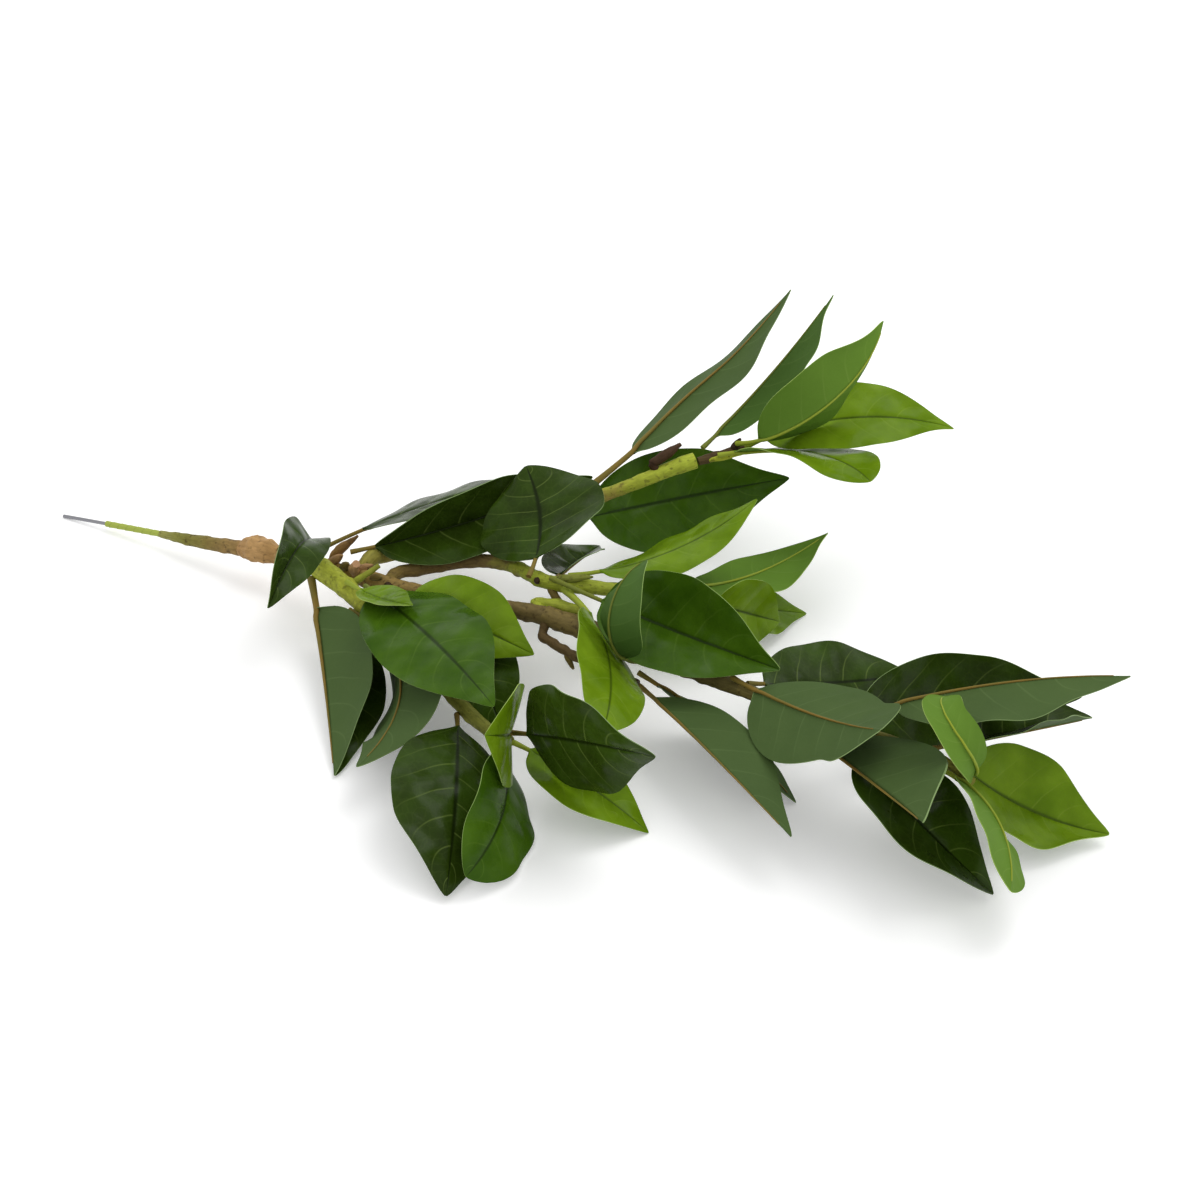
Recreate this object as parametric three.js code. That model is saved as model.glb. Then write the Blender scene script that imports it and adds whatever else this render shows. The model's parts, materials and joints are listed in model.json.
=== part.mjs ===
// Lemon leaf bunch: an artificial spray lying on a table. A steel wire runs into a moulded stem
// that forks into a front, a middle, a back and a tip branch, each ending in a tuft of leaves.
// Millimetres, +Z up, +X along the stem from the bare wire towards the leaves.
import * as THREE from 'three';

// ---- driving dimensions ----
const GAP = 0.35;               // clearance left between one piece and the next
const WIRE_RADIUS = 1.1;
const TAPE_RADIUS = 1.9;
const BORE_RADIUS = WIRE_RADIUS + GAP;
const STEM_SIDES = 10;
const TUBE_SIDES = 12;
const STALK_RADIUS = 1.3;       // leaf stalk at mid length
const BLADE_THICK = 0.7;
const EDGE_THICK = 0.35;        // blade thickness where the margins begin to close
const RIB_HALF = 1.1;           // half width of the rib under the blade
const RIB_DEPTH = 1.2;
const GROOVE_DEPTH = 0.25;
const FLANK_RISE = 0.62;        // blade outline: how fast it widens from the stalk
const FLANK_FALL = 0.8;         // blade outline: how fast it closes to the tip
const SPINE_STEPS = 120;
const RIGHT_MARGIN = 4;         // corner of a leaf section where the glossy side ends
const BLADE_STATIONS = [0.05, 0.14, 0.26, 0.4, 0.54, 0.68, 0.81, 0.91, 0.97];

const TONES = {
  dark: 0x2b4414,
  mid: 0x3c6a16,
  young: 0x6a9a20,
};

const bunch = new THREE.Group();
bunch.name = 'lemon_leaf_bunch';

const rad = THREE.MathUtils.degToRad;

function finish(name, geometry, colour, roughness, metalness = 0) {
  const material = new THREE.MeshStandardMaterial({ color: colour, roughness, metalness });
  const mesh = new THREE.Mesh(geometry, material);
  mesh.name = name;
  bunch.add(mesh);
  return mesh;
}

// Joins rings of equal length into one skin. Both ends close on a point at the ring centre
// unless the rings form a loop, where the last ring joins the first. From the corner numbered
// turn onwards each face is cut along its other diagonal, so a thin blade is cut alike on both sides.
function skin(rings, looped = false, poles = null, turn = Infinity) {
  const sides = rings[0].length;
  const corners = rings.flat();
  const faces = [];
  const spans = looped ? rings.length : rings.length - 1;
  for (let i = 0; i < spans; i++) {
    const low = i * sides;
    const high = ((i + 1) % rings.length) * sides;
    for (let k = 0; k < sides; k++) {
      const next = (k + 1) % sides;
      if (k < turn) {
        faces.push(low + k, low + next, high + next);
        faces.push(low + k, high + next, high + k);
      } else {
        faces.push(low + k, low + next, high + k);
        faces.push(low + next, high + next, high + k);
      }
    }
  }
  if (!looped) {
    const ends = poles || [middle(rings[0]), middle(rings[rings.length - 1])];
    const first = corners.push(ends[0]) - 1;
    const last = corners.push(ends[1]) - 1;
    const top = (rings.length - 1) * sides;
    for (let k = 0; k < sides; k++) {
      const next = (k + 1) % sides;
      faces.push(first, next, k);
      faces.push(last, top + k, top + next);
    }
  }
  const geometry = new THREE.BufferGeometry();
  const values = corners.flatMap((p) => p.toArray());
  geometry.setAttribute('position', new THREE.Float32BufferAttribute(values, 3));
  geometry.setIndex(faces);
  geometry.computeVertexNormals();
  return geometry;
}

function middle(ring) {
  const sum = new THREE.Vector3();
  for (const corner of ring) {
    sum.add(corner);
  }
  return sum.divideScalar(ring.length);
}

// ---- round pieces: stems, branches, buds ----

// Stations along a smooth line between two fractions of it, radii spread evenly over the stretch.
function stationsOn(line, from, to, radii, count) {
  const stations = [];
  for (let i = 0; i <= count; i++) {
    const part = (i / count) * (radii.length - 1);
    const low = Math.min(Math.floor(part), radii.length - 2);
    const radius = radii[low] + (radii[low + 1] - radii[low]) * (part - low);
    const t = from + ((to - from) * i) / count;
    stations.push({ centre: line.getPoint(t), along: line.getTangent(t), radius });
  }
  return stations;
}

function lineThrough(points) {
  const places = points.map((p) => new THREE.Vector3(p[0], p[1], p[2]));
  return new THREE.CatmullRomCurve3(places, false, 'centripetal');
}

function roundRing(station, radius, sides) {
  const up = new THREE.Vector3(0, 0, 1);
  const side = new THREE.Vector3().crossVectors(up, station.along).normalize();
  const lift = new THREE.Vector3().crossVectors(station.along, side);
  const ring = [];
  for (let k = 0; k < sides; k++) {
    const angle = (2 * Math.PI * k) / sides;
    const corner = station.centre.clone();
    corner.addScaledVector(side, radius * Math.cos(angle));
    corner.addScaledVector(lift, radius * Math.sin(angle));
    ring.push(corner);
  }
  return ring;
}

// A solid stem through [x, y, z, radius] points.
function rod(points, count, sides = STEM_SIDES) {
  const stations = stationsOn(lineThrough(points), 0, 1, points.map((p) => p[3]), count);
  return skin(stations.map((s) => roundRing(s, s.radius, sides)));
}

// A hollow length of stem round the wire: outer rings out, then bore rings back.
function sheath(from, to, radii, count) {
  const stations = stationsOn(wireLine, from, to, radii, count);
  const outer = stations.map((s) => roundRing(s, s.radius, TUBE_SIDES));
  const inner = stations.map((s) => roundRing(s, BORE_RADIUS, TUBE_SIDES)).reverse();
  return skin([...outer, ...inner], true);
}

// ---- leaves ----

function widthAt(fraction) {
  const fullest = FLANK_RISE / (FLANK_RISE + FLANK_FALL);
  const peak = fullest ** FLANK_RISE * (1 - fullest) ** FLANK_FALL;
  return (fraction ** FLANK_RISE * (1 - fraction) ** FLANK_FALL) / peak;
}

// Direction of the leaf at a fraction of its length: x to the tip, y left, z out of the glossy side.
function bendAt(leaf, fraction) {
  const turn = new THREE.Euler(
    rad(leaf.twist) * fraction,
    rad(leaf.arch) * fraction,
    rad(leaf.sway) * fraction,
    'ZYX',
  );
  return new THREE.Matrix4().makeRotationFromEuler(turn);
}

function spineOf(leaf) {
  const points = [new THREE.Vector3()];
  const step = leaf.length / SPINE_STEPS;
  for (let i = 0; i < SPINE_STEPS; i++) {
    const ahead = new THREE.Vector3(step, 0, 0).applyMatrix4(bendAt(leaf, (i + 0.5) / SPINE_STEPS));
    points.push(points[i].clone().add(ahead));
  }
  return points;
}

function spinePoint(spine, fraction) {
  const place = fraction * SPINE_STEPS;
  const low = Math.min(Math.floor(place), SPINE_STEPS - 1);
  return spine[low].clone().lerp(spine[low + 1], place - low);
}

// Ten corners in the section plane [y, z], from the left margin over the top and back underneath.
function bladeSection(leaf, fraction) {
  const half = (leaf.width / 2) * widthAt(fraction);
  const thick = EDGE_THICK + (BLADE_THICK - EDGE_THICK) * widthAt(fraction);
  const flanks = [1, -1].map((sign) => {
    const start = sign > 0 ? leaf.curl[0] : leaf.curl[2];
    const end = sign > 0 ? leaf.curl[1] : leaf.curl[3];
    const curl = start + (end - start) * fraction;
    const inner = rad(leaf.fold + curl / 4);
    const outer = rad(leaf.fold + (3 * curl) / 4);
    const mid = [(sign * half * Math.cos(inner)) / 2, (half * Math.sin(inner)) / 2];
    const margin = [mid[0] + (sign * half * Math.cos(outer)) / 2, mid[1] + (half * Math.sin(outer)) / 2];
    const tilt = (inner + outer) / 2;
    const out = [-sign * Math.sin(tilt), Math.cos(tilt)];
    const foot = Math.min(RIB_HALF, half * 0.3);
    return { mid, margin, out, foot: [sign * foot * Math.cos(inner), foot * Math.sin(inner)] };
  });
  const [left, right] = flanks;
  const shift = (point, out, by) => [point[0] + out[0] * by, point[1] + out[1] * by];
  const depth = RIB_DEPTH * (1 - 0.75 * fraction);
  return [
    left.margin,
    shift(left.mid, left.out, thick / 2),
    [0, thick / 2 - GROOVE_DEPTH * widthAt(fraction)],
    shift(right.mid, right.out, thick / 2),
    right.margin,
    shift(right.mid, right.out, -thick / 2),
    shift(right.foot, right.out, -thick / 2),
    [0, -thick / 2 - depth],
    shift(left.foot, left.out, -thick / 2),
    shift(left.mid, left.out, -thick / 2),
  ];
}

// The round stalk uses the same ten corners so it can run on into the blade.
function stalkSection(radius) {
  const angles = [0, 45, 90, 135, 180, 216, 243, 270, 297, 324];
  return angles.map((angle) => [radius * Math.cos(rad(angle)), radius * Math.sin(rad(angle))]);
}

function leafRings(leaf) {
  const spine = spineOf(leaf);
  const chord = spine[SPINE_STEPS].clone().normalize();
  const level = new THREE.Quaternion().setFromUnitVectors(chord, new THREE.Vector3(1, 0, 0));
  const radius = leaf.stalkRadius;
  const stations = [
    { at: 0, section: stalkSection(radius * 1.25) },
    { at: leaf.stalk * 0.2, section: stalkSection(radius * 1.15) },
    { at: leaf.stalk * 0.6, section: stalkSection(radius) },
    { at: leaf.stalk, section: stalkSection(radius * 0.95) },
  ];
  for (const fraction of BLADE_STATIONS) {
    const at = leaf.stalk + (leaf.length - leaf.stalk) * fraction;
    stations.push({ at, section: bladeSection(leaf, fraction) });
  }
  const rings = stations.map(({ at, section }) => {
    const fraction = at / leaf.length;
    const origin = spinePoint(spine, fraction);
    const frame = bendAt(leaf, fraction);
    const placed = section.map(([y, z]) => new THREE.Vector3(0, y, z).applyMatrix4(frame));
    return placed.map((corner) => corner.add(origin).applyQuaternion(level));
  });
  const poles = [new THREE.Vector3(), spine[SPINE_STEPS].clone().applyQuaternion(level)];
  return { rings, poles };
}

// base: where the stalk meets the stem. heading: compass angle of the tip from +X. rise: how far
// the tip is lifted. roll: turn about the leaf's own line, 180 shows the matt underside.
// arch, sway and twist build up from stalk to tip; fold lifts both halves into a V;
// curl bends each half further: [left at stalk, left at tip, right at stalk, right at tip].
function leaf(name, base, heading, rise, length, width, roll, shape = {}) {
  const full = {
    stalk: 12, stalkRadius: STALK_RADIUS, arch: 0, sway: 0, twist: 0, fold: 12, curl: [0, 0, 0, 0],
    tone: 'dark', ...shape, length, width,
  };
  const { rings, poles } = leafRings(full);
  const mesh = finish(name, skin(rings, false, poles, RIGHT_MARGIN), TONES[full.tone], 0.45);
  mesh.position.set(...base);
  mesh.rotation.set(rad(roll), rad(-rise), rad(heading), 'ZYX');
  return mesh;
}

// ---- wire, tape and stems ----

const WOOD = { brown: 0x8c7a4a, olive: 0x8f8f3a, lime: 0xa8b030, tan: 0xb08a5a, dark: 0x5a4030 };
const WIRE_POINTS = [[0, 0, WIRE_RADIUS], [28, 2, 4], [79, 4, 10], [111, 4, 14.5], [140, 5, 19]];
const WIRE_END = 0.95;
const TAPE_SPAN = [0.29, 0.49];
const SLEEVE_SPAN = [0.495, 1];
const wireLine = lineThrough(WIRE_POINTS);
const wireStations = stationsOn(wireLine, 0, WIRE_END, [WIRE_RADIUS, WIRE_RADIUS], 18);

finish('wire_core', skin(wireStations.map((s) => roundRing(s, s.radius, 8))), 0x8a8a90, 0.35, 0.9);
finish('floral_tape', sheath(...TAPE_SPAN, [TAPE_RADIUS, TAPE_RADIUS], 6), 0x9aa84a, 0.7);
finish('stem_sleeve', sheath(...SLEEVE_SPAN, [2.2, 3.4, 4, 4.4, 4.6], 10), WOOD.olive, 0.7);

function stem(name, colour, points, count, sides = STEM_SIDES) {
  finish(name, rod(points, count, sides), colour, 0.7);
}

stem('stem_knob', WOOD.tan, [
  [141, 5, 19.2, 4.6], [146, 5, 21, 6.6], [153, 5, 22.5, 8], [160, 5, 23, 7.6], [167, 5, 23, 5.4],
], 8);
stem('main_stem', WOOD.tan, [
  [168, 5, 23, 5.2], [190, 4, 25.5, 5.2], [205, 3, 27, 5.2], [220, 1, 29.5, 5.2],
  [240, -1, 32.5, 5], [265, -3, 35.5, 4.8], [295, -2, 38, 4.6], [328, 4, 40, 4.8],
  [355, 7, 41.5, 5.4],
], 18);
stem('thick_stem', WOOD.brown, [
  [356, 7, 41.6, 5.6], [382, 6, 42, 6.2], [420, 2, 42, 5.2], [454, 0, 43, 4.6], [480, -3, 44, 4.2],
], 12);
stem('tip_branch', WOOD.olive, [
  [481, -3, 44, 4], [518, -8, 46, 3.4], [547, -9, 47, 3], [574, -8, 47, 2.8], [602, -9, 45, 2.6],
  [616, -14, 43.5, 2.4],
], 14);
stem('back_branch', WOOD.lime, [
  [231, 12, 37, 4.6], [237, 31, 33, 4.6], [251, 53, 32, 4.6], [269, 70, 35, 4.5],
  [289, 86, 42, 4.3], [310, 99, 50, 4.1], [333, 110, 60, 3.8], [349, 123, 67, 3.9],
  [360, 137, 71, 4.5], [371, 149, 74.5, 4.9],
], 22);
stem('back_twig', WOOD.dark, [
  [374, 153.5, 73.5, 2.6], [382, 162, 75.5, 2.4], [391, 173, 77, 2.6],
], 5, 8);
stem('middle_branch', WOOD.lime, [
  [250, 14, 32.5, 3.8], [264, 27, 33.5, 4], [282, 38, 37, 4], [301, 41, 41, 4], [319, 36, 45, 4],
  [333, 29, 48.5, 4], [345, 26, 50, 4.2], [367, 33, 50, 4.2], [393, 43, 50, 3.6], [423, 54, 48, 3],
], 20);
stem('front_branch', WOOD.lime, [
  [194, -5, 34.5, 5], [206, -8, 35.5, 6.2], [221, -13.5, 36, 6.4], [237, -19, 35, 6],
  [262, -30, 32.5, 4.6], [280, -38, 31.5, 4.4], [317, -55, 29.5, 4.2], [351, -73, 28, 4],
  [373, -83, 28, 3.6], [388, -87, 29, 3.2],
], 22);
stem('thin_twig', WOOD.brown, [
  [357, -1.5, 34, 2.6], [368, -5, 33.5, 2.4], [383, -7.5, 32.5, 2.4], [397, -9, 31, 2.4],
  [422, -11, 31, 2.2],
], 8, 8);

// ---- buds and cut stubs ----

stem('junction_bud', WOOD.tan, [[209, 6.5, 35.5, 2.4], [213, 9, 40, 3.1], [221, 13, 48, 0.8]], 5, 8);
stem('junction_stub', WOOD.tan, [[231, -5, 39.5, 2.8], [235, -7.5, 45, 2.4]], 3, 8);
stem('junction_spur', WOOD.lime, [[240, -12, 39, 1.9], [248, -4.5, 46, 1.5]], 3, 8);
stem('upper_stub', WOOD.lime, [[342, 15.5, 41, 2.8], [356, 17.5, 43, 3.4], [369, 17.5, 44, 3]], 5, 8);
stem('back_calyx', WOOD.dark, [[353, 131.5, 76, 2.4], [358, 140, 80, 3.2], [362, 148, 83, 0.9]], 5, 8);

// ---- leaves at the first fork ----

leaf('leaf_base_1', [194, 9, 33], -72, 9, 98, 34, -11,
  { stalk: 14, arch: 104, sway: 11, twist: -44, fold: 30, curl: [4, 1, 2, 4] });
leaf('leaf_base_2', [188.5, 10.5, 27.5], 47, 12, 145, 44, -22,
  { stalk: 34, arch: 16, twist: 6, fold: 1, curl: [-10, -2, 0, 0] });
leaf('leaf_base_3', [222, 8.5, 41], 42, 13, 148, 55, 70,
  { stalk: 13, arch: -4, sway: 12, twist: -34, fold: 40, curl: [39, 13, 11, -18] });
leaf('leaf_base_4', [210, -17, 31], -50, -11, 151, 66, -84,
  { stalk: 24, stalkRadius: 2, arch: 5, twist: 5, fold: 67, curl: [7, 20, -9, -14] });
leaf('leaf_base_5', [251, -34.5, 34], -54, -3, 148, 60, -87,
  { stalk: 24, arch: 85, sway: -8, twist: -84, fold: 15, curl: [7, -15, 0, -7] });
leaf('leaf_base_6', [251, -19.5, 42], -30, 6, 159, 60, 8,
  { stalk: 11, arch: 10, sway: -7, twist: 18, fold: 2, curl: [-20, -9, 6, -8], tone: 'mid' });
leaf('leaf_base_7', [261.5, -9.5, 37.5], -11, 3, 111, 49, 35,
  { stalk: 15, arch: 15, sway: -1, twist: -4, fold: 7, curl: [-2, 7, 5, -3], tone: 'young' });
leaf('leaf_base_8', [240.5, -22.5, 43], -18, 14, 63, 24, -13,
  { stalk: 14, arch: -15, sway: 7, twist: 17, fold: 13, curl: [20, -16, 0, 9], tone: 'young' });

// ---- leaves along the middle branch ----

leaf('leaf_middle_1', [346.5, 31.5, 50.5], 99, -16, 73, 36, -28,
  { stalk: 7, sway: -18, twist: 30, fold: 23, curl: [7, 0, 0, 0] });
leaf('leaf_middle_2', [337, 18.5, 57.5], 123, 25, 76, 80, -45,
  { stalk: 11, arch: -41, sway: 24, twist: 34, fold: 0, curl: [1, -29, 13, -13] });
leaf('leaf_middle_3', [304, -6.5, 37], -43, -9, 105, 42, 4,
  { stalk: 11, arch: 9, sway: 1, twist: 8, fold: -2, curl: [14, 25, -19, -6] });
leaf('leaf_middle_4', [355.5, 34, 54], 45, 17, 116, 45, -19,
  { stalk: 16, arch: -36, sway: 2, twist: 19, fold: -8, curl: [-6, 0, -1, -4], tone: 'young' });
leaf('leaf_middle_5', [424.5, -4.5, 44], 117, 81, 89, 44, 144,
  { stalk: 19, arch: -174, sway: -7, twist: -37, fold: 22, curl: [7, -14, -10, -20], tone: 'mid' });
leaf('leaf_middle_6', [350, 22.5, 56], -8, 2, 154, 63, 28,
  { stalk: 36, arch: -1, sway: 5, twist: 5, fold: 28, curl: [12, 27, -7, -16], tone: 'mid' });
leaf('leaf_middle_7', [358.5, 22.5, 51], -52, 4, 149, 47, -77,
  { stalk: 33, stalkRadius: 1.8, arch: 41, twist: 56, fold: -7, curl: [7, 24, 6, 25], tone: 'young' });
leaf('leaf_middle_8', [416, 55.5, 53], 70, -5, 118, 41, 188,
  { stalk: 10, arch: 40, sway: -6, twist: -17, fold: 3, curl: [-2, -8, 13, -8], tone: 'young' });
leaf('leaf_middle_9', [426, 55.5, 48], 56, -30, 62, 42, 74,
  { stalk: 10, arch: 18, tone: 'young' });
leaf('leaf_middle_10', [420.5, 58, 45], 66, -27, 99, 45, 27,
  { stalk: 10, arch: -22, sway: -18, fold: 7, curl: [-3, -1, -2, 4], tone: 'young' });

// ---- leaves at the end of the front branch ----

leaf('leaf_front_1', [351, -79.5, 27], -60, -11, 125, 68, -22,
  { stalk: 14, arch: 49, sway: 9, twist: -5, fold: -11, curl: [-5, -3, -5, -1] });
leaf('leaf_front_2', [384, -92, 28.5], -68, -9, 95, 51, -71,
  { arch: 61, sway: -8, twist: 15, fold: 6, curl: [-5, 1, -2, -3], tone: 'mid' });
leaf('leaf_front_3', [384, -85, 34.5], -68, 34, 62, 54, -94,
  { stalk: 8, arch: 60, sway: -3, fold: 8, curl: [8, -10, 1, -8], tone: 'young' });
leaf('leaf_front_4', [390, -86, 34.5], -15, 22, 113, 64, 85,
  { stalk: 18, arch: 23, sway: -19, twist: 24, fold: 4, curl: [-14, -8, -5, -5] });
leaf('leaf_front_5', [392.5, -86.5, 29], 1, -20, 88, 42, 11,
  { stalk: 10, arch: 52, sway: 20, twist: -10, fold: 7, curl: [-2, -6, 1, -2], tone: 'young' });

// ---- leaves of the back branch ----

leaf('leaf_back_1', [322, 109.5, 61], 67, 29, 179, 50, 161,
  { stalk: 37, stalkRadius: 1.8, arch: 21, sway: 17, twist: -2, fold: 8, curl: [3, -9, -3, 14] });
leaf('leaf_back_2', [373, 160.5, 79.5], 75, 28, 130, 43, 157,
  { stalk: 10, arch: 16, sway: 5, twist: -24, fold: 29, curl: [-7, -11, 1, 2], tone: 'mid' });
leaf('leaf_back_3', [392, 168, 83.5], 39, 42, 130, 51, -88,
  { stalk: 18, arch: -108, sway: 22, twist: -4, fold: 30, curl: [0, 27, -18, -24], tone: 'young' });
leaf('leaf_back_4', [392.5, 175, 77], 28, 7, 131, 48, 15,
  { stalk: 14, arch: 61, twist: 8, fold: 10, curl: [6, 5, -16, -10], tone: 'young' });
leaf('leaf_back_5', [385, 158.5, 78.5], -4, 8, 108, 45, -30,
  { stalk: 8, arch: 38, sway: -71, twist: 10, fold: 4, curl: [-4, 11, 4, -20], tone: 'young' });
leaf('leaf_back_6', [325.5, 90, 51], 49, 1, 150, 63, 59,
  { stalk: 13, arch: -84, sway: 2, twist: 9, fold: 15, curl: [-17, -8, -1, 0], tone: 'mid' });

// ---- leaves of the tip branch ----

leaf('leaf_tip_1', [485, 1.5, 46], 61, -18, 119, 53, 24,
  { stalk: 10, arch: -11, sway: 1, twist: 30, fold: -9, curl: [-3, -8, -11, -3] });
leaf('leaf_tip_2', [541.5, -3.5, 49], 40, -2, 149, 52, 63,
  { stalk: 16, arch: -100, sway: 4, twist: 12, fold: 10, curl: [-4, 3, 4, 0] });
leaf('leaf_tip_3', [546, -7, 51.5], 24, 15, 146, 56, 153,
  { stalk: 25, arch: -21, sway: -31, twist: 14, fold: 30, curl: [-8, -13, -18, -9] });
leaf('leaf_tip_4', [589.5, -3.5, 46], 49, -2, 95, 57, 1,
  { arch: -2, sway: -4, twist: -17, fold: 35, curl: [18, 15, -4, 7] });
leaf('leaf_tip_5', [614.5, -16.5, 48.5], 172, 54, 76, 24, 174,
  { stalk: 8, arch: -194, sway: -36, twist: 44, fold: -12, curl: [22, -18, -4, -2], tone: 'young' });
leaf('leaf_tip_6', [601, -14.5, 44.5], -44, -7, 88, 42, 123,
  { stalk: 10, arch: -57, sway: 12, twist: 4, fold: 8, curl: [2, -4, 3, -7], tone: 'young' });
leaf('leaf_tip_7', [606.5, -6, 46], 23, -26, 95, 60, 18,
  { stalk: 6, arch: -65, sway: -19, twist: 19, fold: 19, curl: [-2, 0, -3, 29], tone: 'young' });
leaf('leaf_tip_8', [548.5, -14.5, 46], -17, -23, 113, 56, 5,
  { stalk: 16, arch: 30, sway: 39, twist: -10, fold: 16, curl: [8, 4, 8, -5] });
leaf('leaf_tip_9', [506.5, -13, 48.5], -35, 11, 147, 71, -104,
  { stalk: 36, arch: 38, sway: -27, twist: 39, fold: 82, curl: [20, 22, 4, 12] });
leaf('leaf_tip_10', [479, -6, 51.5], -16, 15, 110, 66, -163,
  { stalk: 14, arch: 40, sway: -4, twist: -10, fold: 7, curl: [15, -12, 21, -6] });
leaf('leaf_tip_11', [426.5, -12.5, 31], -30, 0, 147, 54, -112,
  { stalk: 18, arch: -23, sway: 22, twist: -13, fold: 64, curl: [-8, 9, 0, -9] });
leaf('leaf_tip_12', [423.5, -7.5, 35], -10, -18, 112, 39, 136,
  { stalk: 11, arch: -15, sway: 15, twist: 11, fold: -6, curl: [11, 15, 9, -20] });

// The origin sits under the middle of the bunch, at table height.
const extent = new THREE.Box3();
bunch.updateMatrixWorld(true);
for (const mesh of bunch.children) {
  extent.expandByObject(mesh, true);
}
const centre = extent.getCenter(new THREE.Vector3());
for (const mesh of bunch.children) {
  mesh.position.sub(new THREE.Vector3(centre.x, centre.y, extent.min.z));
}

export default bunch;
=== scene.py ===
import json
import math
import random

import bmesh
import bpy
import numpy as np
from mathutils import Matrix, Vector, noise


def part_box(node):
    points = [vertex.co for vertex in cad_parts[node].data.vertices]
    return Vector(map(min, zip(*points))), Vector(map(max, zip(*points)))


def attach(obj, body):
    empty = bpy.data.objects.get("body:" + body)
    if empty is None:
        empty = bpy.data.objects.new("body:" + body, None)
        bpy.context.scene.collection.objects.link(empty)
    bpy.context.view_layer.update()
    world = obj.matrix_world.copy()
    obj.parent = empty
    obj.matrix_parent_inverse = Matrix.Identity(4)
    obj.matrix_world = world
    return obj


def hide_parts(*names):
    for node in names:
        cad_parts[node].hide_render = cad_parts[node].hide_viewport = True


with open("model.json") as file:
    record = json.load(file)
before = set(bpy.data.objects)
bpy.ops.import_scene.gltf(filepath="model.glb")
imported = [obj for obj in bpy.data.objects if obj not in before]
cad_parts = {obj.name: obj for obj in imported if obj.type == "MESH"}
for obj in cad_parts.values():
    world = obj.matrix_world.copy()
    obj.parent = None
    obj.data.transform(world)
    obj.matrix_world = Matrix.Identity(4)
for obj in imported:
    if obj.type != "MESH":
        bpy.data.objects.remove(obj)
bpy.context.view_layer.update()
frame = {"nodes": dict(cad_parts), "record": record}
nodes = frame["nodes"]
slotOf = {row["node"]: row["material_slot"] for row in frame["record"]["subparts"]}
mm = 0.001
weld = {"frame": 1e-6, "tube": 1e-7}  # corners nearer than this become one


def linear(code):
    # sRGB hex to the linear colour that shaders read
    values = [int(code[i:i + 2], 16) / 255 for i in (1, 3, 5)]
    return [v / 12.92 if v <= 0.04045 else ((v + 0.055) / 1.055) ** 2.4 for v in values] + [1]


def addNode(tree, kind, settings=None, links=None):
    # a key is a property, a socket's name or a socket's number
    node = tree.nodes.new("ShaderNode" + kind)
    for key, value in (settings or {}).items():
        if isinstance(key, str) and hasattr(node, key):
            setattr(node, key, value)
        else:
            node.inputs[key].default_value = value
    for key, source in (links or {}).items():
        tree.links.new(source, node.inputs[key])
    return node


def newMaterial(name):
    material = bpy.data.materials.new(name)
    material.use_nodes = True
    material.node_tree.nodes.clear()
    return material, material.node_tree


def smoothLine(points, knots, places):
    # a smooth curve that passes each point at its knot, read at the given places
    points = np.asarray(points, float)
    knots = np.asarray(knots, float)
    slopes = np.empty_like(points)
    slopes[1:-1] = (points[2:] - points[:-2]) / (knots[2:] - knots[:-2])[:, None]
    slopes[0] = (points[1] - points[0]) / (knots[1] - knots[0])
    slopes[-1] = (points[-1] - points[-2]) / (knots[-1] - knots[-2])
    low = np.clip(np.searchsorted(knots, places, side="right") - 1, 0, len(knots) - 2)
    span = (knots[low + 1] - knots[low])[:, None]
    t = ((places - knots[low])[:, None]) / span
    return (
        points[low] * (2 * t**3 - 3 * t**2 + 1)
        + slopes[low] * span * (t**3 - 2 * t**2 + t)
        + points[low + 1] * (3 * t**2 - 2 * t**3)
        + slopes[low + 1] * span * (t**3 - t**2)
    )


def knotsAlong(points):
    steps = np.linalg.norm(np.diff(points, axis=0), axis=1)
    return np.concatenate([[0], np.cumsum(steps)]) / steps.sum()


def eased(x, start, end):
    t = np.clip((x - start) / (end - start), 0, 1)
    return t * t * (3 - 2 * t)


def unit(vectors):
    return vectors / np.maximum(np.linalg.norm(vectors, axis=-1, keepdims=True), 1e-12)


def addPiece(name, bm, materials, node):
    mesh = bpy.data.meshes.new(name)
    bm.to_mesh(mesh)
    bm.free()
    piece = bpy.data.objects.new(name, mesh)
    bpy.context.scene.collection.objects.link(piece)
    for material in materials:
        mesh.materials.append(material)
    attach(piece, "root")
    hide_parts(node)


def pieceName(node):
    first, *rest = node.split("_")
    return first + "".join(word.capitalize() for word in rest)


def joinInto(bm, part):
    holder = bpy.data.meshes.new("holder")
    part.to_mesh(holder)
    part.free()
    bm.from_mesh(holder)
    bpy.data.meshes.remove(holder)


def readRings(node):
    # A packed rod or leaf is a skin of rings between two end points: walking out from one end
    # point gives the rings in order, each as a loop.
    bm = bmesh.new()
    bm.from_mesh(nodes[node].data)
    bmesh.ops.remove_doubles(bm, verts=bm.verts, dist=weld["frame"])
    sides = max(len(v.link_edges) for v in bm.verts)
    ends = [v for v in bm.verts if len(v.link_edges) == sides]
    ends.sort(key=lambda v: sum(e.calc_length() for e in v.link_edges))
    seen = {ends[0]}
    layer = [ends[0]]
    rings = []
    while True:
        around = [e.other_vert(v) for v in layer for e in v.link_edges]
        around = [v for v in dict.fromkeys(around) if v not in seen]
        if len(around) < 3:
            break
        loop = [around.pop(0)]
        while around:
            linked = [e.other_vert(loop[-1]) for e in loop[-1].link_edges]
            step = next(v for v in linked if v in around)
            around.remove(step)
            loop.append(step)
        rings.append(np.array([v.co[:] for v in loop]))
        seen.update(loop)
        layer = loop
    points = [np.array(ends[0].co[:]), np.array(ends[-1].co[:])]
    bm.free()
    return rings, points


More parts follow.
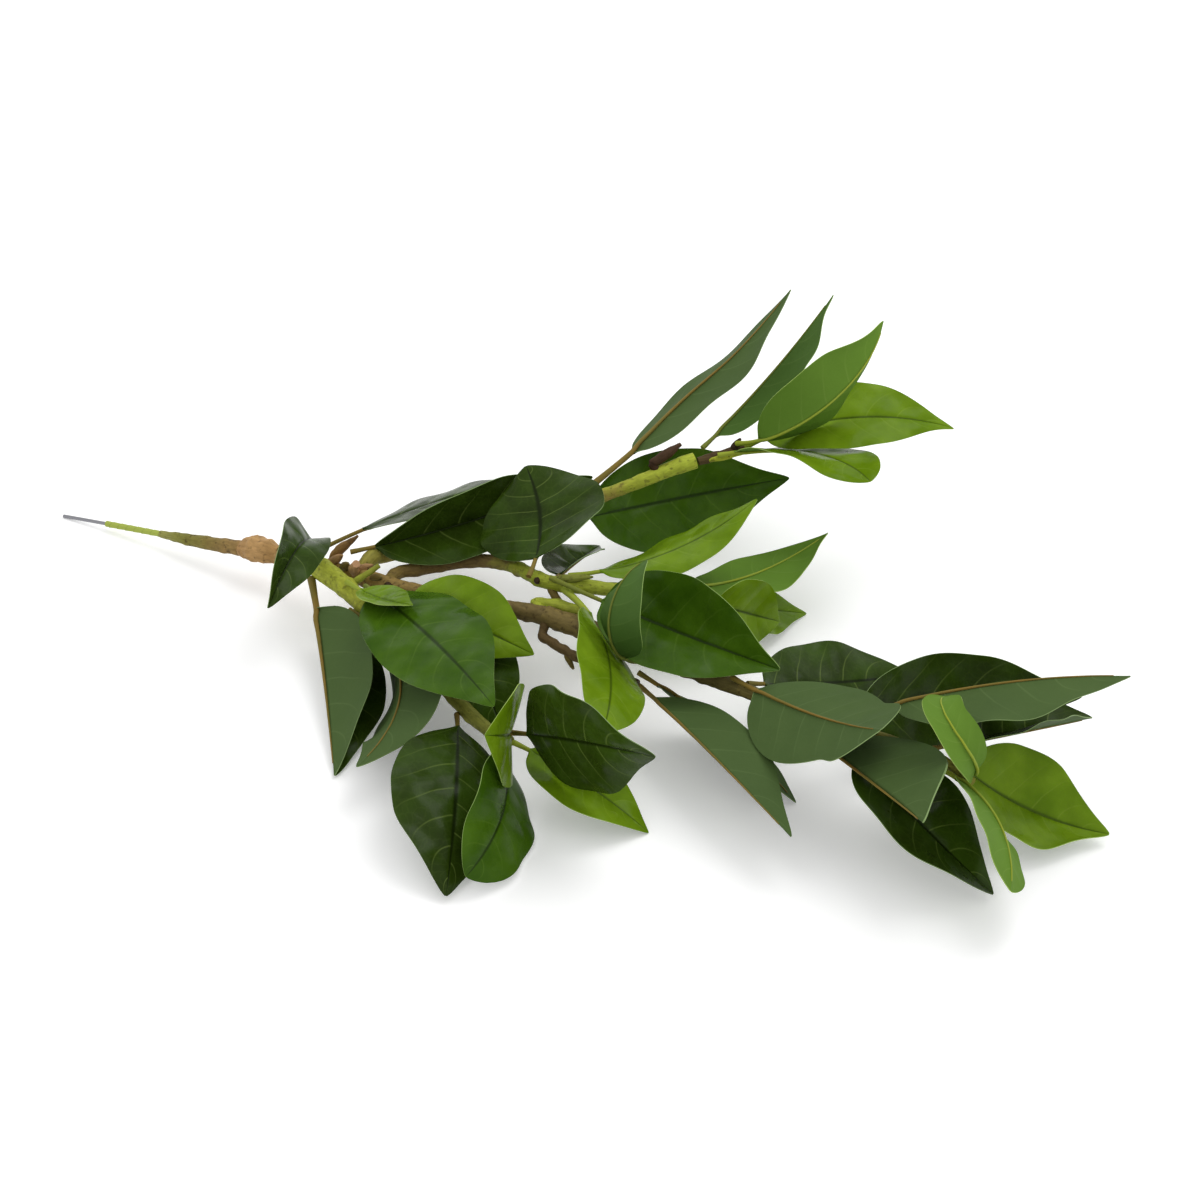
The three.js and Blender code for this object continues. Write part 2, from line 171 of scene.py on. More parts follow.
def aligned(ring, pattern):
    # turns or flips a loop so that its corners lie beside the pattern's
    count = len(ring)
    ways = [np.roll(way, k, axis=0) for way in (ring, ring[::-1]) for k in range(count)]
    return min(ways, key=lambda way: ((way - way.mean(0) - pattern + pattern.mean(0)) ** 2).sum())


# A packed leaf: its first rings are the stalk's. A blade ring's corners run from the left margin over the
# glossy side to the right margin, and on under the blade past the rib's crest.
leafFrame = {
    "stalkRings": 4, "middleRing": 7,
    "corners": 10, "leftMargin": 0, "topCentre": 2, "rightMargin": 4, "crest": 7,
}


def readLeaf(node):
    rings, ends = readRings(node)
    if np.linalg.norm(rings[0].mean(0) - ends[0]) > np.linalg.norm(rings[0].mean(0) - ends[1]):
        ends.reverse()
    middle = leafFrame["middleRing"]
    gaps = np.linalg.norm(rings[middle] - np.roll(rings[middle], -1, axis=0), axis=1)
    crest = int(np.argmin(gaps + np.roll(gaps, 1)))
    start = np.roll(rings[middle], leafFrame["crest"] - crest, axis=0)
    up = start[leafFrame["topCentre"]] - start[leafFrame["crest"]]
    ahead = rings[middle + 1].mean(0) - rings[middle - 1].mean(0)
    leftward = start[leafFrame["leftMargin"]] - start[leafFrame["rightMargin"]]
    if np.dot(leftward, np.cross(up, ahead)) < 0:
        start = np.roll(start[::-1], 2 * leafFrame["topCentre"] + 1 - leafFrame["corners"], axis=0)
    rings[middle] = start
    for i in range(middle + 1, len(rings)):
        rings[i] = aligned(rings[i], rings[i - 1])
    for i in range(middle - 1, -1, -1):
        rings[i] = aligned(rings[i], rings[i + 1])
    return rings, ends[1]


# aim is measured from the bare end of the wire
view = {"lens": 65, "sensor": 36, "azimuth": 30, "elevation": 34, "distance": 1.3, "aim": (0.3421, 0.0903, 0)}
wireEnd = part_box("wire_core")[0]
aim = Vector((wireEnd.x, wireEnd.y, 0)) + Vector(view["aim"])
azimuth = math.radians(view["azimuth"])
elevation = math.radians(view["elevation"])
back = Vector((
    math.sin(azimuth) * math.cos(elevation),
    -math.cos(azimuth) * math.cos(elevation),
    math.sin(elevation),
))
cameraData = bpy.data.cameras.new("camera")
cameraData.lens = view["lens"]
cameraData.sensor_width = view["sensor"]
camera = bpy.data.objects.new("camera", cameraData)
bpy.context.scene.collection.objects.link(camera)
camera.location = aim + back * view["distance"]
camera.rotation_euler = (-back).to_track_quat("-Z", "Y").to_euler()
bpy.context.scene.camera = camera
bpy.context.scene.view_settings.view_transform = "Standard"

studio = {
    "skyLevel": 0.94, "lampWatts": 7.5, "lampSize": 0.9, "lampPlace": (0.35, 0.6, 1.5),
    "floorColour": "#f6f6f6", "floorGlow": 0.2, "floorSize": 14,
}


def backdropRays(tree):
    # 1 for the rays of the camera, of mirror images and of clear materials, 0 for the light on the bunch
    path = addNode(tree, "LightPath")
    seen = addNode(tree, "Math", {"operation": "MAXIMUM"},
                   {0: path.outputs["Is Camera Ray"], 1: path.outputs["Is Glossy Ray"]})
    return addNode(tree, "Math", {"operation": "MAXIMUM"},
                   {0: seen.outputs[0], 1: path.outputs["Is Transmission Ray"]})


def makeWorld():
    world = bpy.data.worlds.new("studioWorld")
    bpy.context.scene.world = world
    world.use_nodes = True
    tree = world.node_tree
    tree.nodes.clear()
    clear = backdropRays(tree)
    level = addNode(tree, "MapRange", {"To Min": studio["skyLevel"], "To Max": 1},
                    {"Value": clear.outputs[0]})
    sky = addNode(tree, "Background", {"Color": linear("#ffffff")}, {"Strength": level.outputs[0]})
    addNode(tree, "OutputWorld", None, {"Surface": sky.outputs[0]})


def makeLamp():
    data = bpy.data.lights.new("softbox", "AREA")
    data.energy = studio["lampWatts"]
    data.size = studio["lampSize"]
    lamp = bpy.data.objects.new("softbox", data)
    bpy.context.scene.collection.objects.link(lamp)
    lamp.location = aim + Vector(studio["lampPlace"])
    lamp.rotation_euler = (aim - lamp.location).to_track_quat("-Z", "Y").to_euler()


def makeFloor():
    material, tree = newMaterial("paintedStudioFloor")
    diffuse = addNode(tree, "BsdfDiffuse", {"Color": linear(studio["floorColour"])})
    glow = addNode(tree, "Math", {"operation": "MULTIPLY", 1: studio["floorGlow"]},
                   {0: backdropRays(tree).outputs[0]})
    light = addNode(tree, "Emission", {"Color": linear("#ffffff")}, {"Strength": glow.outputs[0]})
    both = addNode(tree, "AddShader", None, {0: diffuse.outputs[0], 1: light.outputs[0]})
    addNode(tree, "OutputMaterial", None, {"Surface": both.outputs[0]})
    bm = bmesh.new()
    bmesh.ops.create_grid(bm, x_segments=1, y_segments=1, size=studio["floorSize"] / 2)
    mesh = bpy.data.meshes.new("studioFloor")
    bm.to_mesh(mesh)
    bm.free()
    mesh.materials.append(material)
    floor = bpy.data.objects.new("studioFloor", mesh)
    bpy.context.scene.collection.objects.link(floor)


makeWorld()
makeLamp()
makeFloor()
print("stage: camera, light and floor")


# the darkest top colour of each slot is painted shade: a dark line down the middle of the glossy side that
# stands in for the shade in the midrib's groove
leafColours = {
    "leaf_dark": {
        "top": "#26360a", "topPatch": "#334a0e", "vein": "#7e9248", "veinShare": 0.36, "midrib": "#182404",
        "under": "#41562c", "underPatch": "#4e6335", "rib": "#80682e", "stalk": "#6e642c", "rim": "#7f9660",
        "glow": 0.05,
    },
    "leaf_mid": {
        "top": "#33520a", "topPatch": "#456610", "vein": "#7c9a40", "veinShare": 0.16, "midrib": "#243a06",
        "under": "#4e6c2e", "underPatch": "#45622a", "rib": "#6a7430", "stalk": "#6e742a", "rim": "#86a058",
        "glow": 0.1,
    },
    "leaf_young": {
        "top": "#62820c", "topPatch": "#7a9a1c", "vein": "#a2bc4c", "veinShare": 0.22, "midrib": "#48600e",
        "under": "#6c9034", "underPatch": "#5f822c", "rib": "#8c9c38", "stalk": "#8f9a2e", "rim": "#a0ba60",
        "glow": 0.2,
    },
}
veins = {
    "pairs": 6.5, "sweep": 0.17, "bend": 1.35, "width": 0.045, "sideShift": 0.45,
    "fadeStart": 0.25, "fadeEnd": 0.98, "marginShare": 0.15, "wander": 0.22, "wanderSize": 22 * mm,
    "midribStart": 0.015, "midribEnd": 0.05,
    "netCell": 5.5 * mm, "netWidth": 0.08, "netShare": 0.1, "netPush": 0.0035, "netPushSize": 9 * mm,
}
topFinish = {
    "patch": 30 * mm, "patchRoughness": 0.6, "patchStart": 0.35, "patchEnd": 0.68, "grain": 1.6 * mm,
    "veinDepth": -0.6, "bump": 0.2, "bumpDepth": 0.4 * mm, "swell": 24 * mm, "swellDepth": 7 * mm,
    "gloss": 0.2, "dull": 0.34, "shine": 0.09,
}
underFinish = {
    "patch": 26 * mm, "grain": 1.2 * mm, "veinShare": 0.14, "veinDepth": 0.6, "bump": 0.15,
    "bumpDepth": 0.4 * mm, "gloss": 0.55, "dull": 0.7, "shine": 0.08,
}
edgeFinish = {"patch": 10 * mm, "grain": 1 * mm, "bump": 0.1, "roughness": 0.6}
ribFinish = {"patch": 18 * mm, "grain": 1.5 * mm, "bump": 0.3, "roughness": 0.55}
plastic = {"index": 1.5, "shine": 0.12, "patchStart": 0.35, "patchEnd": 0.65, "bumpDepth": 0.5 * mm}
leafLook = {"top": 0, "under": 1, "edge": 2, "rib": 3}


def veinMask(tree):
    # side veins leave the midrib and sweep to the tip; the leaf's own map runs 0..1 across and along
    place = addNode(tree, "UVMap", {"uv_map": "leafMap"})
    parts = addNode(tree, "SeparateXYZ", None, {0: place.outputs[0]})
    centred = addNode(tree, "Math", {"operation": "MULTIPLY_ADD", 1: 2, 2: -1}, {0: parts.outputs["X"]})
    across = addNode(tree, "Math", {"operation": "ABSOLUTE"}, {0: centred.outputs[0]})
    bent = addNode(tree, "Math", {"operation": "POWER", 1: veins["bend"]}, {0: across.outputs[0]})
    swept = addNode(tree, "Math", {"operation": "MULTIPLY_ADD", 1: -veins["sweep"]},
                    {0: bent.outputs[0], 2: parts.outputs["Y"]})
    coords = addNode(tree, "TexCoord")
    wander = addNode(tree, "TexNoise", {"Scale": 1 / veins["wanderSize"], "Detail": 2},
                     {"Vector": coords.outputs["Object"]})
    wandered = addNode(tree, "Math", {"operation": "MULTIPLY", 1: veins["wander"]},
                       {0: wander.outputs["Fac"]})
    side = addNode(tree, "Math", {"operation": "GREATER_THAN", 1: 0}, {0: centred.outputs[0]})
    shifted = addNode(tree, "Math", {"operation": "MULTIPLY_ADD", 1: veins["sideShift"]},
                      {0: side.outputs[0], 2: wandered.outputs[0]})
    turns = addNode(tree, "Math", {"operation": "MULTIPLY_ADD", 1: veins["pairs"]},
                    {0: swept.outputs[0], 2: shifted.outputs[0]})
    saw = addNode(tree, "Math", {"operation": "PINGPONG", 1: 0.5}, {0: turns.outputs[0]})
    sideVein = addNode(tree, "MapRange", {"From Max": veins["width"], "To Min": 1, "To Max": 0},
                       {"Value": saw.outputs[0]})
    fading = addNode(tree, "MapRange", {"From Min": veins["fadeStart"], "From Max": veins["fadeEnd"],
                                        "To Min": 1, "To Max": veins["marginShare"]},
                     {"Value": across.outputs[0]})
    sideFaded = addNode(tree, "Math", {"operation": "MULTIPLY"},
                        {0: sideVein.outputs[0], 1: fading.outputs[0]})
    bumpy = addNode(tree, "TexNoise", {"Scale": 1 / veins["netPushSize"], "Detail": 2},
                    {"Vector": coords.outputs["Object"]})
    pushed = addNode(tree, "MixRGB", {"blend_type": "LINEAR_LIGHT", "Fac": veins["netPush"]},
                     {"Color1": coords.outputs["Object"], "Color2": bumpy.outputs["Color"]})
    cells = addNode(tree, "TexVoronoi", {"feature": "DISTANCE_TO_EDGE", "Scale": 1 / veins["netCell"]},
                    {"Vector": pushed.outputs[0]})
    net = addNode(tree, "MapRange", {"From Max": veins["netWidth"], "To Min": veins["netShare"], "To Max": 0},
                  {"Value": cells.outputs["Distance"]})
    both = addNode(tree, "Math", {"operation": "MAXIMUM"}, {0: sideFaded.outputs[0], 1: net.outputs[0]})
    # a narrow band down the middle of the leaf, where the glossy side is darkened with painted shade for the
    # midrib's groove
    midrib = addNode(tree, "MapRange", {"From Min": veins["midribStart"], "From Max": veins["midribEnd"],
                                        "To Min": 1, "To Max": 0},
                     {"Value": across.outputs[0]})
    return coords, both, midrib


def leafShader(tree, colour, bump, patch, finish, glow):
    # light that passes through the thin sheet is mixed in as a translucent share
    rough = addNode(tree, "MapRange", {"To Min": finish["gloss"], "To Max": finish["dull"]},
                    {"Value": patch.outputs["Fac"]})
    shader = addNode(tree, "BsdfPrincipled",
                     {"IOR": plastic["index"], "Specular IOR Level": finish["shine"]},
                     {"Base Color": colour, "Roughness": rough.outputs[0], "Normal": bump})
    through = addNode(tree, "BsdfTranslucent", None, {"Color": colour, "Normal": bump})
    mixed = addNode(tree, "MixShader", {0: glow}, {1: shader.outputs[0], 2: through.outputs[0]})
    addNode(tree, "OutputMaterial", None, {"Surface": mixed.outputs[0]})


def leafTop(slot):
    # moulded polyethylene leaf, glossy side: waxy film over mottled green, veins printed paler, the sheet
    # gently swollen where it cooled unevenly
    colours = leafColours[slot]
    material, tree = newMaterial(pieceName(slot) + "WaxyTop")
    coords, vein, midrib = veinMask(tree)
    patch = addNode(tree, "TexNoise", {"Scale": 1 / topFinish["patch"], "Detail": 3,
                                       "Roughness": topFinish["patchRoughness"]},
                    {"Vector": coords.outputs["Object"]})
    spread = addNode(tree, "MapRange",
                     {"From Min": topFinish["patchStart"], "From Max": topFinish["patchEnd"]},
                     {"Value": patch.outputs["Fac"]})
    base = addNode(tree, "MixRGB", {"Color1": linear(colours["top"]), "Color2": linear(colours["topPatch"])},
                   {"Fac": spread.outputs[0]})
    share = addNode(tree, "Math", {"operation": "MULTIPLY", 1: colours["veinShare"]}, {0: vein.outputs[0]})
    veined = addNode(tree, "MixRGB", {"Color2": linear(colours["vein"])},
                     {"Fac": share.outputs[0], "Color1": base.outputs[0]})
    # painted shade: the midrib's groove is darkened in the colour, not only by the groove in the sheet
    grooveShaded = addNode(tree, "MixRGB", {"Color2": linear(colours["midrib"])},
                     {"Fac": midrib.outputs[0], "Color1": veined.outputs[0]})
    grain = addNode(tree, "TexNoise", {"Scale": 1 / topFinish["grain"], "Detail": 3},
                    {"Vector": coords.outputs["Object"]})
    height = addNode(tree, "Math", {"operation": "MULTIPLY_ADD", 1: topFinish["veinDepth"]},
                     {0: vein.outputs[0], 2: grain.outputs["Fac"]})
    swell = addNode(tree, "TexNoise", {"Scale": 1 / topFinish["swell"], "Detail": 1},
                    {"Vector": coords.outputs["Object"]})
    rolling = addNode(tree, "Bump", {"Strength": 1, "Distance": topFinish["swellDepth"]},
                      {"Height": swell.outputs["Fac"]})
    bump = addNode(tree, "Bump", {"Strength": topFinish["bump"], "Distance": topFinish["bumpDepth"]},
                   {"Height": height.outputs[0], "Normal": rolling.outputs[0]})
    leafShader(tree, grooveShaded.outputs[0], bump.outputs[0], patch, topFinish, colours["glow"])
    return material


def leafUnder(slot):
    # the same leaf's underside: left matt by the mould, grey-green, veins faintly raised
    colours = leafColours[slot]
    material, tree = newMaterial(pieceName(slot) + "MattUnderside")
    coords, vein, _ = veinMask(tree)
    patch = addNode(tree, "TexNoise", {"Scale": 1 / underFinish["patch"], "Detail": 3},
                    {"Vector": coords.outputs["Object"]})
    base = addNode(tree, "MixRGB",
                   {"Color1": linear(colours["under"]), "Color2": linear(colours["underPatch"])},
                   {"Fac": patch.outputs["Fac"]})
    share = addNode(tree, "Math", {"operation": "MULTIPLY", 1: underFinish["veinShare"]},
                    {0: vein.outputs[0]})
    veined = addNode(tree, "MixRGB", {"Color2": linear(colours["rim"])},
                     {"Fac": share.outputs[0], "Color1": base.outputs[0]})
    grain = addNode(tree, "TexNoise", {"Scale": 1 / underFinish["grain"], "Detail": 3},
                    {"Vector": coords.outputs["Object"]})
    height = addNode(tree, "Math", {"operation": "MULTIPLY_ADD", 1: underFinish["veinDepth"]},
                     {0: vein.outputs[0], 2: grain.outputs["Fac"]})
    bump = addNode(tree, "Bump", {"Strength": underFinish["bump"], "Distance": underFinish["bumpDepth"]},
                   {"Height": height.outputs[0]})
    leafShader(tree, veined.outputs[0], bump.outputs[0], patch, underFinish, colours["glow"])
    return material


def mottledPlastic(name, first, second, finish):
    # plain moulded polyethylene whose dye varies: two tones in patches and a fine grain
    material, tree = newMaterial(name)
    coords = addNode(tree, "TexCoord")
    patch = addNode(tree, "TexNoise", {"Scale": 1 / finish["patch"], "Detail": 4},
                    {"Vector": coords.outputs["Object"]})
    spread = addNode(tree, "MapRange", {"From Min": plastic["patchStart"], "From Max": plastic["patchEnd"]},
                     {"Value": patch.outputs["Fac"]})
    base = addNode(tree, "MixRGB", {"Color1": linear(first), "Color2": linear(second)},
                   {"Fac": spread.outputs[0]})
    grain = addNode(tree, "TexNoise", {"Scale": 1 / finish["grain"], "Detail": 4},
                    {"Vector": coords.outputs["Object"]})
    bump = addNode(tree, "Bump", {"Strength": finish["bump"], "Distance": plastic["bumpDepth"]},
                   {"Height": grain.outputs["Fac"]})
    shader = addNode(tree, "BsdfPrincipled", {"Roughness": finish["roughness"], "IOR": plastic["index"],
                                              "Specular IOR Level": plastic["shine"]},
                     {"Base Color": base.outputs[0], "Normal": bump.outputs[0]})
    addNode(tree, "OutputMaterial", None, {"Surface": shader.outputs[0]})
    return material


leafMaterials = {}
for slot, colours in leafColours.items():
    leafMaterials[slot] = [
        leafTop(slot),
        leafUnder(slot),
        mottledPlastic(pieceName(slot) + "CutEdge", colours["rim"], colours["rim"], edgeFinish),
        mottledPlastic(pieceName(slot) + "Rib", colours["rib"], colours["stalk"], ribFinish),
    ]  # in leafLook's order
print("stage: leaf materials")


blade = {
    "rows": 84, "columns": 14, "spread": 1.25, "thickness": 0.42 * mm,
    "groove": 0.5 * mm, "grooveWidth": 0.04,
    "quilt": 0.34 * mm, "quiltStart": 0.11, "quiltReach": 1.05, "quiltShape": 0.6,
    "wave": 0.022, "waveGrowth": 2.5, "waves": 2.6, "fewer": 0.8, "more": 1.25, "phase": 6.28,
    "tipEnd": 0.993, "point": 0.42, "pointStart": 0.6, "fade": 0.7,
}
rib = {
    "sides": 10, "stations": 40, "tipRadius": 0.3 * mm, "sink": 0.1 * mm, "intoStem": 2 * mm,
    "end": 0.93, "thinning": 0.5, "stalkSteps": 10,
}
tubeUp = np.array([0.05, 0.03, 1.0])  # nearly upright, and no stem runs along it
# What sets a leaf apart: point narrows the part past pointStart (below zero it blunts it), snake bends
# the blade sideways in an S and bow in an arc, wave scales the edge waves.
leafHabits = {
    "leaf_back_1": {"snake": 5 * mm, "point": 0.5, "wave": 1.2},
    "leaf_back_2": {"point": 0.6, "wave": 1.3},
    "leaf_back_3": {"point": 0.45},
    "leaf_back_4": {"point": 0.6},
    "leaf_back_5": {"point": -0.5},
    "leaf_back_6": {"point": 0.5},
    "leaf_base_1": {"point": 0.3, "wave": 1.5},
    "leaf_base_4": {"point": 0.3},
    "leaf_base_8": {"wave": 0.4},
    "leaf_middle_1": {"point": 0.5, "wave": 0.6},
    "leaf_middle_2": {"point": 0.15, "wave": 0.7},
    "leaf_middle_5": {"wave": 0.4, "point": 0.1},
    "leaf_middle_7": {"point": -0.2},
    "leaf_middle_8": {"point": 0.6, "wave": 1.3},
    "leaf_front_1": {"point": 0.35},
    "leaf_front_2": {"point": -0.3},
    "leaf_front_3": {"wave": 0.6},
    "leaf_tip_3": {"point": 0.5, "wave": 1.4},
    "leaf_tip_4": {"point": 0.5},
    "leaf_tip_5": {"wave": 0.5, "point": -0.8, "bow": 9 * mm},
    "leaf_tip_6": {"point": -0.5, "wave": 0.6},
    "leaf_tip_10": {"point": -1.0, "pointStart": 0.7, "wave": 0.2, "bow": 7 * mm},
}


def bladeSurface(node, rings, tip, seed):
    # a grid of points over the glossy side, rows along the leaf, columns from right to left margin
    habit = leafHabits.get(node, {})
    bladeRings = rings[leafFrame["stalkRings"] - 1:]
    tracks = [np.array([ring[corner] for ring in bladeRings] + [tip])
              for corner in range(leafFrame["rightMargin"] + 1)]
    knots = knotsAlong(tracks[leafFrame["topCentre"]])
    along = np.linspace(0, blade["tipEnd"], blade["rows"] + 1)
    leftMargin, leftMiddle, topCentre, rightMiddle, rightMargin = (
        smoothLine(track, knots, along) for track in tracks
    )
    share = (np.arange(blade["columns"] + 1) / blade["columns"]) ** blade["spread"]
    a = share[None, :, None]

    def half(middleLine, marginLine):
        return (
            topCentre[:, None] * (1 - a) * (1 - 2 * a)
            + middleLine[:, None] * 4 * a * (1 - a)
            + marginLine[:, None] * a * (2 * a - 1)
        )

    left = half(leftMiddle, leftMargin)
    right = half(rightMiddle, rightMargin)
    surface = np.concatenate([right[:, :0:-1], left], axis=1)
    across = np.concatenate([-share[:0:-1], share])
    centre = surface[:, blade["columns"]][:, None]
    start = habit.get("pointStart", blade["pointStart"])
    narrowing = habit.get("point", blade["point"]) * eased(along, start, 1)
    surface = centre + (surface - centre) * (1 - narrowing)[:, None, None]
    normals = surfaceNormals(surface)
    f = along[:, None]
    size = np.abs(across)[None, :]
    rng = random.Random(seed)
    turns = (f - veins["sweep"] * size ** veins["bend"]) * veins["pairs"]
    turns = turns + np.where(across > 0, veins["sideShift"], 0)[None, :] + blade["quiltStart"]
    ends = np.sin(np.pi * np.clip(f, 0, 1)) ** blade["fade"]
    bulge = np.sin(np.pi * np.clip(size * blade["quiltReach"], 0, 1)) ** blade["quiltShape"]
    quilt = np.abs(np.sin(np.pi * turns)) * bulge
    lift = blade["quilt"] * quilt * ends
    lift = lift - blade["groove"] * np.exp(-((size / blade["grooveWidth"]) ** 2)) * ends
    width = np.linalg.norm(surface[:, 0] - surface[:, -1], axis=1).max()
    phases = [rng.uniform(0, blade["phase"]) for _ in range(2)]
    rates = [blade["waves"] * rng.uniform(blade["fewer"], blade["more"]) for _ in range(2)]
    wave = np.where(
        across[None, :] > 0,
        np.sin(2 * np.pi * rates[0] * f + phases[0]),
        np.sin(2 * np.pi * rates[1] * f + phases[1]),
    )
    lift = lift + blade["wave"] * width * habit.get("wave", 1) * wave * size ** blade["waveGrowth"] * ends
    surface = surface + normals * lift[:, :, None]
    if "snake" in habit:
        sideways = unit(surface[:, -1] - surface[:, 0])[:, None]
        surface = surface - sideways * (habit["snake"] * np.sin(2 * np.pi * f) * ends)[:, :, None]
    if "bow" in habit:
        sideways = unit(surface[:, -1] - surface[:, 0])[:, None]
        surface = surface + sideways * (habit["bow"] * f**2)[:, :, None]
    return surface, across, along


def surfaceNormals(surface):
    ahead = np.gradient(surface, axis=0)
    sideways = np.gradient(surface, axis=1)
    return unit(np.cross(ahead, sideways))


def turnedFrame(centres):
    # at each point of a line, the ways ahead, to the side and up that its turns are counted from
    ahead = unit(np.gradient(centres, axis=0))
    side = unit(np.cross(tubeUp, ahead))
    return ahead, side, np.cross(ahead, side)


def tube(centres, radii, sides, materialIndex, relief=None, mapName="leafMap"):
    # a capped tube through the centres; relief gives the radius at each place and turn
    part = bmesh.new()
    mapLayer = part.loops.layers.uv.new(mapName)
    count = len(centres) - 1
    bmesh.ops.create_grid(part, x_segments=sides, y_segments=count, size=1)
    _, side, lift = turnedFrame(centres)
    spots = {v: (round((v.co.y + 1) / 2 * count), (v.co.x + 1) / 2) for v in part.verts}
    for face in part.faces:
        face.smooth = True
        face.material_index = materialIndex
        for loop in face.loops:
            row, turn = spots[loop.vert]
            loop[mapLayer].uv = (turn, row / count)
    for v, (row, turn) in spots.items():
        angle = turn * 2 * math.pi
        out = side[row] * math.cos(angle) + lift[row] * math.sin(angle)
        v.co = centres[row] + out * (relief(row, angle) if relief else radii[row])
    bmesh.ops.remove_doubles(part, verts=part.verts, dist=weld["tube"])
    bmesh.ops.holes_fill(part, edges=[e for e in part.edges if e.is_boundary], sides=0)
    for face in part.faces:
        if len(face.verts) > 4:
            face.material_index = materialIndex
            for e in face.edges:
                e.smooth = False
    bmesh.ops.recalc_face_normals(part, faces=part.faces)
    return part


def makeLeaf(node, seed):
    rings, tip = readLeaf(node)
    surface, across, along = bladeSurface(node, rings, tip, seed)
    normals = surfaceNormals(surface)
    columns = surface.shape[1] - 1
    rows = surface.shape[0] - 1
    bm = bmesh.new()
    mapLayer = bm.loops.layers.uv.new("leafMap")
    bmesh.ops.create_grid(bm, x_segments=columns, y_segments=rows, size=1)
    spots = {}
    for v in bm.verts:
        spots[v] = (round((v.co.y + 1) / 2 * rows), round((v.co.x + 1) / 2 * columns))
    for face in bm.faces:
        face.smooth = True
        face.material_index = leafLook["top"]
        for loop in face.loops:
            row, column = spots[loop.vert]
            loop[mapLayer].uv = ((across[column] + 1) / 2, along[row])
    for v, (row, column) in spots.items():
        v.co = surface[row, column]
    top = list(bm.faces)
    outline = [e for e in bm.edges if e.is_boundary]
    copied = bmesh.ops.duplicate(bm, geom=bm.verts[:] + bm.edges[:] + bm.faces[:])
    under = [g for g in copied["geom"] if isinstance(g, bmesh.types.BMFace)]
    for v, (row, column) in spots.items():
        copied["vert_map"][v].co = surface[row, column] - normals[row, column] * blade["thickness"]
    underOutline = [e for e in {e for f in under for e in f.edges} if e.is_boundary]
    bmesh.ops.reverse_faces(bm, faces=under)
    edge = bmesh.ops.bridge_loops(bm, edges=outline + underOutline)
    for face in under:
        face.material_index = leafLook["under"]
    for face in edge["faces"]:
        face.material_index = leafLook["edge"]
    for e in outline + underOutline:
        e.smooth = False
    bmesh.ops.recalc_face_normals(bm, faces=bm.faces)
    if sum(f.normal.dot(Vector(normals[rows // 2, columns // 2])) for f in top) < 0:
        bmesh.ops.reverse_faces(bm, faces=bm.faces)
    joinInto(bm, leafRib(rings, surface, normals))
    addPiece(pieceName(node), bm, leafMaterials[slotOf[node]], node)


def leafRib(rings, surface, normals):
    # the stalk, from inside the stem, and the rib under the blade that carries it on, as one tube
    stalkRings = rings[:leafFrame["stalkRings"]]
    stalkRadii = [np.linalg.norm(ring - ring.mean(0), axis=1).mean() for ring in stalkRings]
    stalk = np.array([ring.mean(0) for ring in stalkRings[:-1]])
    places = np.linspace(0, rib["end"], rib["stations"])
    rows = np.round(places * blade["rows"]).astype(int)
    ribRadii = stalkRadii[-1] + (rib["tipRadius"] - stalkRadii[-1]) * places ** rib["thinning"]
    middle = blade["columns"]
    ribLine = surface[rows, middle] - normals[rows, middle] * (ribRadii + rib["sink"])[:, None]
    ribLine[0] = stalkRings[-1].mean(0)
    rootStep = stalk[0] - stalk[1]
    root = stalk[0] + rootStep / np.linalg.norm(rootStep) * rib["intoStem"]
    centres = np.concatenate([[root], stalk, ribLine])
    radii = np.concatenate([[stalkRadii[0]], stalkRadii[:-1], ribRadii])
    knots = knotsAlong(centres)
    bladeKnot = len(stalk) + 1
    fine = np.concatenate([np.linspace(0, knots[bladeKnot], rib["stalkSteps"])[:-1], knots[bladeKnot:]])
    line = smoothLine(centres, knots, fine)
    return tube(line, np.interp(fine, knots, radii), rib["sides"], leafLook["rib"])


leafNodes = sorted(name for name in nodes if name.startswith("leaf_"))
for number, node in enumerate(leafNodes):
    makeLeaf(node, number)
print("stage:", len(leafNodes), "leaves")


# lumpSize, grainSize, knotWidth and seedStep are in millimetres
stemBuild = {
    "rowStep": 1.2 * mm, "sides": 24, "reach": 1.5 * mm, "rootRadius": 0.9, "fewestRows": 8,
    "lumpSize": 6.0, "grainSize": 2.2, "grainShare": 0.4, "seedStep": 40,
    "knotWidth": 2.4, "knotAllRound": 0.6, "knotOneSide": 0.4, "knotShare": (0.5, 1),
    "firstKnot": (0.4, 0.9), "nextKnot": (0.7, 1.3), "sheathStationGap": 1.5 * mm,
}
stemFinish = {
    "drift": 0.36, "driftSize": 9 * mm, "fibreLength": 16 * mm, "fibres": 3.2, "fibreRoughness": 0.65,
    "fibreStart": 0.3, "fibreEnd": 0.7, "fibreDark": 0.55, "fibreLight": 1.15, "fibreShare": 0.75,
    "speckSize": 3 * mm, "speckStart": 0.58, "speckEnd": 0.68, "speckDepth": -0.8, "speckColour": "#3a2c18",
    "bump": 0.45, "bumpDepth": 0.6 * mm, "gloss": 0.45, "dull": 0.7,
}
budBuild = {
    "profile": [0.6, 0.95, 1.0, 0.95, 0.8, 0.55, 0.2], "stations": 19, "sides": 14, "sink": 0.4,
    "bendBack": 0.15, "specks": 0.5, "firstSeed": 60,
    "skin": {"lumps": 0.35, "knotGap": 4, "knotHeight": 0.3},
}
budLooks = {
    "tan": "#a8845a", "dark": "#3a2a1a", "lime": "#a8b034", "olive": "#7e8438", "brown": "#70602f",
}

# the stem that each smaller one grows from
parentOf = {
    "front_branch": "main_stem", "middle_branch": "main_stem", "back_branch": "main_stem",
    "thin_twig": "thick_stem", "junction_bud": "main_stem", "junction_stub": "main_stem",
    "junction_spur": "front_branch", "upper_stub": "thick_stem", "back_calyx": "back_branch",
}

